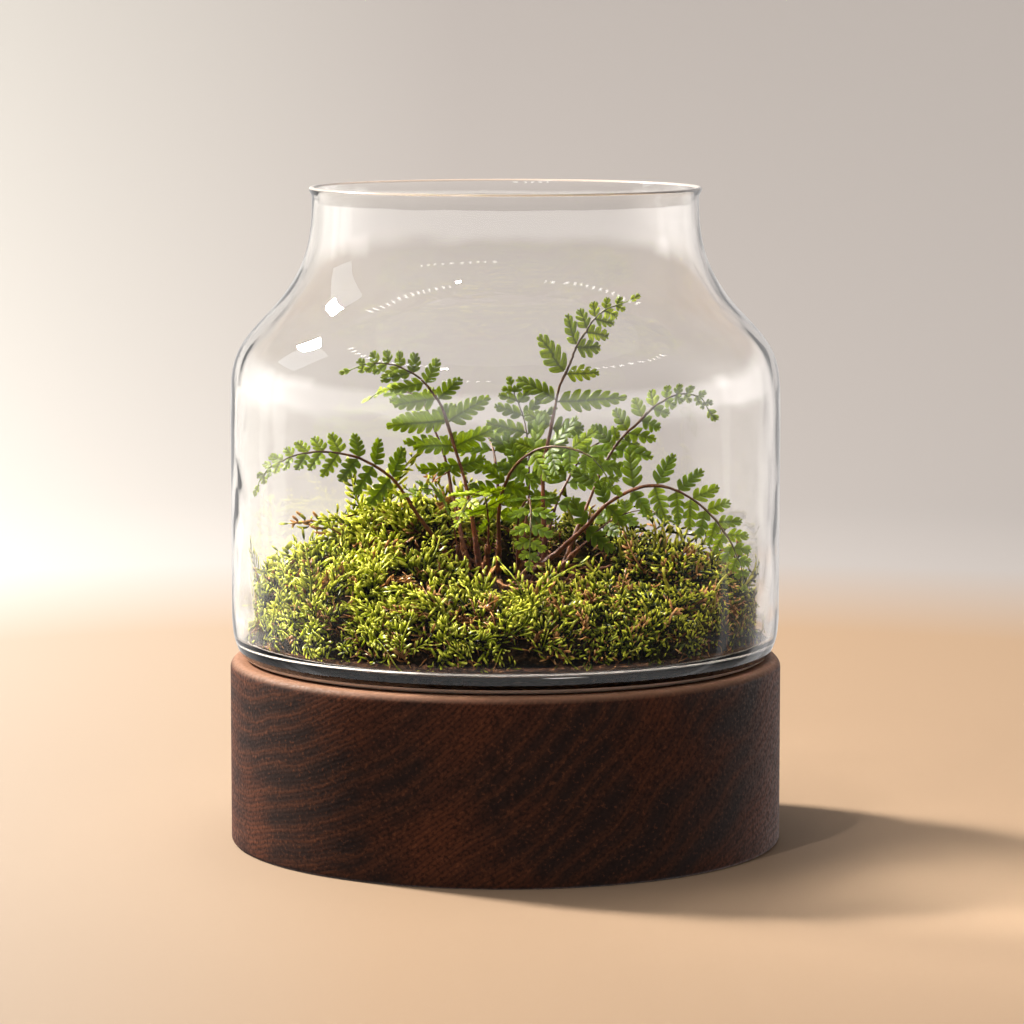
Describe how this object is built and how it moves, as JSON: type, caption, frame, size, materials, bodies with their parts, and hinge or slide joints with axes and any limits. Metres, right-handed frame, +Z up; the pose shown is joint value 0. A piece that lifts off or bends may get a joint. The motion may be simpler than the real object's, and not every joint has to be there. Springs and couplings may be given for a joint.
{
  "type": "glass plant terrarium",
  "caption": "Open clear glass jar with a wide neck on a round walnut plinth, holding a mound of soil, cushions of moss and a small fern",
  "frame": {"origin": "middle of the plinth's underside, on the surface that it stands on", "axes": "+Z is up, along the jar's axis; -Y is the side that is usually looked at; +X is to its right"},
  "size_m": [0.11, 0.11, 0.1304],
  "materials": {
    "walnut": "dark walnut, oiled, satin",
    "clear_glass": "clear blown soda glass, polished",
    "peat": "damp crumbly peat soil",
    "moss": "living feather moss, soft and matte",
    "rootstock": "rough brown rootstock and wiry roots",
    "fern_leaf": "fresh green fern leaf with brown stalk, softly glossy"
  },
  "bodies": {
    "root": {"wood_base": "walnut", "glass_jar": "clear_glass", "soil": "peat", "moss_back_left": "moss", "moss_left": "moss", "moss_front_left": "moss", "moss_front_low": "moss", "moss_front": "moss", "moss_front_right": "moss", "moss_right": "moss", "moss_back_right": "moss", "moss_back": "moss", "fern_crown": "rootstock", "frond_left_low": "fern_leaf", "frond_left_high": "fern_leaf", "frond_back_left": "fern_leaf", "frond_left_short": "fern_leaf", "frond_tall": "fern_leaf", "frond_middle": "fern_leaf", "frond_right_high": "fern_leaf", "frond_right_low": "fern_leaf", "frond_front_right": "fern_leaf", "frond_front": "fern_leaf", "frond_front_left": "fern_leaf", "frond_right_short": "fern_leaf", "frond_back_right": "fern_leaf", "frond_back": "fern_leaf"}
  },
  "joints": []
}
